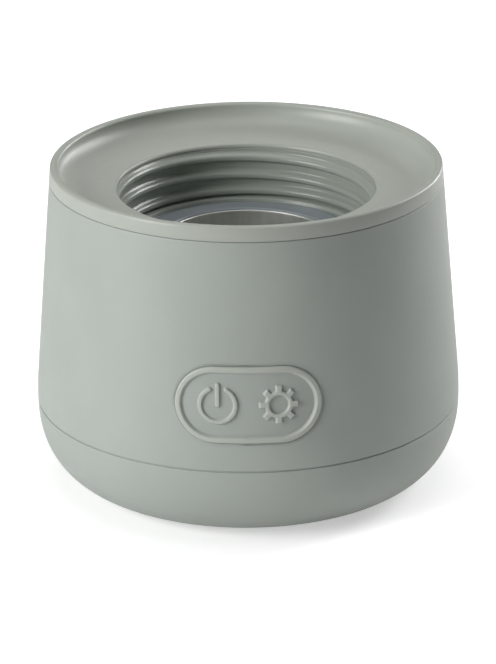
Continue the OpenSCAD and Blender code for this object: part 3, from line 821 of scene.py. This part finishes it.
def build_keypad():
    mat = MATS["sage_silicone"]
    for side, body, icon in ((-1, "power_key", power_sd), (1, "settings_key", gear_sd)):
        cx = side * KEY_X
        ang = np.linspace(0, 2 * math.pi, N_ANG, endpoint=False)
        # the key's face: a fine polar disc that carries the icon
        rs = np.concatenate([np.linspace(0.07, R_WEB0, 66)])
        verts = [on_body(cx, KEY_Z, FACE + relief(icon(np.array(0.0), np.array(0.0)), 0.5))]
        rows = []
        for r in rs:
            x, z = r * np.cos(ang), r * np.sin(ang)
            P = on_body(cx + x, KEY_Z + z, FACE + relief(icon(x, z), 0.5))
            rows.append(list(range(len(verts), len(verts) + N_ANG)))
            verts += [tuple(p) for p in P]
        faces = [(0, rows[0][j], rows[0][(j + 1) % N_ANG]) for j in range(N_ANG)]
        # down the side to a plunger that reaches the switch
        back = -nbox(("power_button" if side < 0 else "settings_button"))[1][1]
        lower = []
        for depth in (0.5, 1.0):
            x, z = R_WEB0 * np.cos(ang), R_WEB0 * np.sin(ang)
            P = on_body(cx + x, KEY_Z + z, FACE - depth)
            lower.append([tuple(p) for p in P])
        lower.append([(cx + 3.2 * math.cos(a), -back - 0.4, KEY_Z + 3.2 * math.sin(a)) for a in ang])
        lower.append([(cx + 3.0 * math.cos(a), -back, KEY_Z + 3.0 * math.sin(a)) for a in ang])
        for L in lower:
            rows.append(list(range(len(verts), len(verts) + N_ANG)))
            verts += L
        for a, b in zip(rows[:-1], rows[1:]):
            for j in range(N_ANG):
                k = (j + 1) % N_ANG
                faces.append((a[j], b[j], b[k], a[k]))
        verts.append((cx, -back, KEY_Z))
        c = len(verts) - 1
        faces += [(c, rows[-1][(j + 1) % N_ANG], rows[-1][j]) for j in range(N_ANG)]
        o = make("key_face_" + ("power" if side < 0 else "settings"), verts, faces, mat, body, sharp=60)
        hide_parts("power_button" if side < 0 else "settings_button")
        # the web round the key, in sectors between the pad and the key
        per = N_ANG // SECT
        for s in range(SECT):
            idx = np.arange(s * per, (s + 1) * per + 1) - per // 2
            aa = 2 * math.pi * idx / N_ANG
            rr = np.linspace(R_WEB0, R_WEB1, 12)
            V, F = [], []
            grids = []
            for lift in (0.0, -0.5):
                g = []
                for r in rr:
                    x, z = r * np.cos(aa), r * np.sin(aa)
                    P = on_body(cx + x, KEY_Z + z, FACE + lift)
                    g.append(list(range(len(V), len(V) + len(aa))))
                    V += [tuple(p) for p in P]
                grids.append(g)
            for gi, g in enumerate(grids):
                for i in range(len(rr) - 1):
                    for j in range(len(aa) - 1):
                        q = (g[i][j], g[i + 1][j], g[i + 1][j + 1], g[i][j + 1])
                        F.append(q if gi == 0 else q[::-1])
            t, b = grids
            for i in range(len(rr) - 1):
                F.append((t[i][0], b[i][0], b[i + 1][0], t[i + 1][0]))
                F.append((t[i][-1], t[i + 1][-1], b[i + 1][-1], b[i][-1]))
            for j in range(len(aa) - 1):
                F.append((t[0][j], t[0][j + 1], b[0][j + 1], b[0][j]))
                F.append((t[-1][j], b[-1][j], b[-1][j + 1], t[-1][j + 1]))
            w = make(f"key_web_{'power' if side < 0 else 'settings'}_{s}", V, F, mat, None, sharp=60)
            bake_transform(w)
    # the pad: two halves, each a fan of rays from its key's web out to the border, then the outer wall
    V, F = [], []
    for side in (-1, 1):
        cx = side * KEY_X
        ang = np.linspace(0, 2 * math.pi, N_ANG, endpoint=False)
        rows = []
        dist, edge = zip(*[stadium_ray(cx, a, KEY_W, KEY_H, side) for a in ang])
        dist = np.array(dist)
        steps = list(np.linspace(0, 1, 9)[:-1])
        fine = list(np.linspace(0, 1, 27))
        cols = []
        for a, t in zip(ang, dist):
            fine_len = min(2.0, (t - R_WEB1) * 0.8)
            r = [R_WEB1 + (t - fine_len - R_WEB1) * q for q in steps] + [t - fine_len + fine_len * (1 - (1 - q) ** 1.35) for q in fine]
            cols.append(r)
        cols = np.array(cols)
        n_r = cols.shape[1]
        for i in range(n_r):
            x, z = cx + cols[:, i] * np.cos(ang), cols[:, i] * np.sin(ang)
            if i == n_r - 1:
                x = np.where(np.array(edge), x, 0.0)
            P = on_body(x, KEY_Z + z, border_height(x, z))
            rows.append(list(range(len(V), len(V) + N_ANG)))
            V += [tuple(p) for p in P]
        for a, b in zip(rows[:-1], rows[1:]):
            for j in range(N_ANG):
                k = (j + 1) % N_ANG
                F.append((a[j], b[j], b[k], a[k]))
    # outer wall and the flange behind the shell
    m = 360
    ww = (KEY_W - KEY_H) / 2
    out = []
    for i in range(m):
        a = 2 * math.pi * i / m
        t, _ = stadium_ray(0.0, a, KEY_W, KEY_H, 0)
        out.append((t * math.cos(a), t * math.sin(a)))
    out = np.array(out)
    c = np.clip(out[:, 0], -ww, ww)
    N = np.stack([out[:, 0] - c, out[:, 1]], 1)
    N /= np.linalg.norm(N, axis=1)[:, None]
    rows = []
    for o_, lift in ((0.0, FACE), (0.0, -0.6), (0.0, -2.3), (1.6, -2.35), (1.6, -3.25), (-1.0, -3.25)):
        P = out + N * o_
        rows.append(list(range(len(V), len(V) + m)))
        V += [tuple(p) for p in on_body(P[:, 0], KEY_Z + P[:, 1], lift)]
    for a, b in zip(rows[:-1], rows[1:]):
        for j in range(m):
            k = (j + 1) % m
            F.append((a[j], b[j], b[k], a[k]))
    o = make("keypad_skin", V, F, mat, "warmer", sharp=60)
    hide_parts("keypad_pad")


build_keypad()


# ------------------------------------------------------------------ feet
def build_feet():
    flo, fhi = nbox("rubber_feet")
    fx, fy = (fhi[0] - flo[0]) / 2 - 4.5, (fhi[1] - flo[1]) / 2 - 4.5
    prof = [(0, 0), (1.5, 0), (3.4, 0)] + arc_pts(4.5 - 0.35, 0.35, 0.35, -90, 0, 7) + [(4.5, FOOT_H - 0.1), (4.4, FOOT_H), (0, FOOT_H)]
    v, f = revolve_mesh(prof, 96, closed=False)
    V, F = [], []
    for x in (-fx, fx):
        for y in (-fy, fy):
            k = len(V)
            V += [(a + x, b + y, c) for a, b, c in v]
            F += [tuple(i + k for i in q) for q in f]
    o = make("foot_pads", V, F, MATS["grey_rubber"], "warmer", sharp=60)
    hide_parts("rubber_feet")


build_feet()


# ------------------------------------------------------------------ camera, lights, floor
def camera():
    cam = bpy.data.cameras.new("camera")
    o = bpy.data.objects.new("camera", cam)
    bpy.context.scene.collection.objects.link(o)
    e, D, F, roll = 21.39 * D2R, 776.7, 4.6921 * 776.7, -0.521 * D2R
    c = Vector((0.041, -math.cos(e) * D, 30.552 + math.sin(e) * D)) * MM
    fwd = Vector((0, math.cos(e), -math.sin(e)))
    right = Vector((1, 0, 0))
    up = Vector((0, math.sin(e), math.cos(e)))
    r2 = right * math.cos(roll) + up * math.sin(roll)
    u2 = -right * math.sin(roll) + up * math.cos(roll)
    m = Matrix((r2, u2, -fwd)).transposed().to_4x4()
    m.translation = c
    o.matrix_world = m
    cam.lens = 36 * F / 664
    cam.sensor_width = 36
    cam.clip_start, cam.clip_end = 0.05, 20
    bpy.context.scene.camera = o


camera()


def area(name, loc, target, size, power, size_y=None, color=(1, 1, 1), spread=180):
    l = bpy.data.lights.new(name, "AREA")
    l.shape = "RECTANGLE"
    l.size, l.size_y = size, size_y or size
    l.energy = power
    l.color = color
    l.spread = spread * D2R
    o = bpy.data.objects.new(name, l)
    bpy.context.scene.collection.objects.link(o)
    o.location = loc
    d = Vector(target) - Vector(loc)
    o.rotation_euler = d.to_track_quat("-Z", "Y").to_euler()
    return o


# name, azimuth (0 is the keypad's side, 90 the right), elevation, distance, width, height, power
LIGHTS = [
    ("key_left", -60, 22, 0.9, 0.50, 0.60, 8.0),
    ("top_soft", 0, 89, 0.9, 0.70, 0.70, 2.6),
    ("kick_right", 122, 29, 0.9, 0.42, 0.40, 4.4),
    ("edge_right", 138, 8, 0.9, 0.24, 0.18, 2.1),
    ("back_soft", 180, 35, 0.9, 0.70, 0.40, 0.7),
]
for nm, az, el, dist, sx, sy, pw_ in LIGHTS:
    a_, e_ = az * D2R, el * D2R
    area(nm, (math.sin(a_) * math.cos(e_) * dist, -math.cos(a_) * math.cos(e_) * dist, math.sin(e_) * dist + 0.035),
         (0, 0, 0.035), sx, pw_, sy)

w = bpy.data.worlds.new("studio")
bpy.context.scene.world = w
w.use_nodes = True
nt = w.node_tree
bg = nt.nodes["Background"] if "Background" in nt.nodes else nt.nodes.new("ShaderNodeBackground")
lp = nt.nodes.new("ShaderNodeLightPath")
mr = nt.nodes.new("ShaderNodeMapRange")
mr.inputs["To Min"].default_value = 0.03
mr.inputs["To Max"].default_value = 1.05
nt.links.new(lp.outputs["Is Camera Ray"], mr.inputs[0])
nt.links.new(mr.outputs[0], bg.inputs["Strength"])
bg.inputs["Color"].default_value = (1, 1, 1, 1)

fm = bpy.data.materials.new("pale_floor")
fm.use_nodes = True
fb = fm.node_tree.nodes["Principled BSDF"]
fb.inputs["Base Color"].default_value = (0.84, 0.84, 0.84, 1)
fb.inputs["Emission Color"].default_value = (1, 1, 1, 1)
flp = fm.node_tree.nodes.new("ShaderNodeLightPath")
fmr = fm.node_tree.nodes.new("ShaderNodeMapRange")
fmr.inputs["To Min"].default_value = 0.11
fmr.inputs["To Max"].default_value = 0.44
fm.node_tree.links.new(flp.outputs["Is Camera Ray"], fmr.inputs[0])
fm.node_tree.links.new(fmr.outputs[0], fb.inputs["Emission Strength"])
fb.inputs["Roughness"].default_value = 0.9
me = bpy.data.meshes.new("floor")
S = 0.45
me.from_pydata([(-S, -S, 0), (S, -S, 0), (S, S, 0), (-S, S, 0)], [], [(0, 1, 2, 3)])
me.materials.append(fm)
floor = bpy.data.objects.new("floor", me)
bpy.context.scene.collection.objects.link(floor)

bpy.context.scene.view_settings.view_transform = "Standard"
bpy.context.scene.view_settings.look = "None"

bpy.context.view_layer.update()
